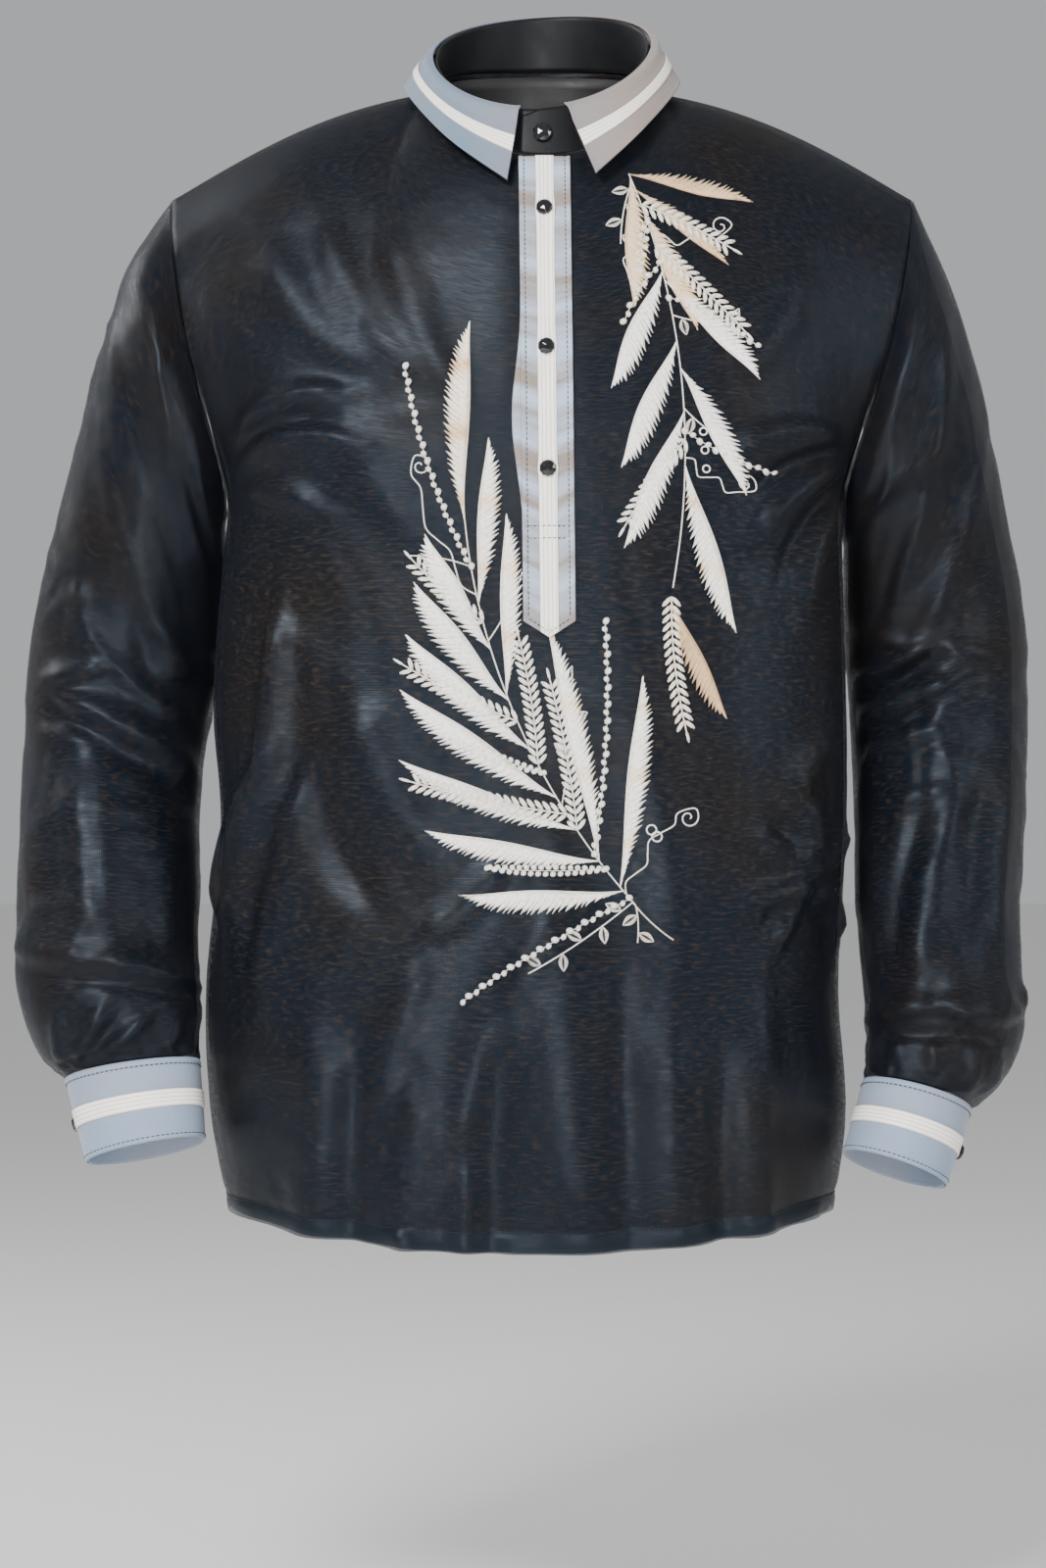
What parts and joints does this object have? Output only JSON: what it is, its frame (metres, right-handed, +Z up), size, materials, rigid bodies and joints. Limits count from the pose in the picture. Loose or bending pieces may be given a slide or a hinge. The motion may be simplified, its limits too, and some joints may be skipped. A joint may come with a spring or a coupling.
{
  "type": "barong shirt",
  "caption": "Long-sleeved pullover barong shirt in sheer black organza over black lining, grey collar, cuffs and placket with cream ribbon, white and beige embroidery",
  "frame": {"origin": "middle of the neck's base, where the wearer's neck and shoulders hold the shirt", "axes": "+X to the wearer's left, +Y to the back, +Z up"},
  "size_m": [0.6955, 0.2708, 0.8468],
  "materials": {
    "organza": "sheer, slightly lustrous plain weave",
    "lining": "matt black lining",
    "grey_cloth": "plain woven, soft sheen",
    "black_cloth": "black satin weave",
    "ribbon": "cream grosgrain ribbon",
    "button": "polished black, domed"
  },
  "bodies": {
    "root": {"body_front": "organza", "body_back": "organza", "sleeve_right": "organza", "sleeve_left": "organza", "lining_front": "lining", "lining_back": "lining", "lining_sleeve_right": "lining", "lining_sleeve_left": "lining", "collar_stand": "black_cloth", "collar_under": "black_cloth", "collar_fall": "grey_cloth", "collar_ribbon": "ribbon", "placket_under": "grey_cloth", "placket_upper": "grey_cloth", "placket_ribbon": "ribbon", "cuff_right": "grey_cloth", "cuff_left": "grey_cloth", "cuff_ribbon_right": "ribbon", "cuff_ribbon_left": "ribbon", "button_collar": "button", "button_placket_1": "button", "button_placket_2": "button", "button_placket_3": "button", "button_cuff_right": "button", "button_cuff_left": "button"}
  },
  "joints": []
}
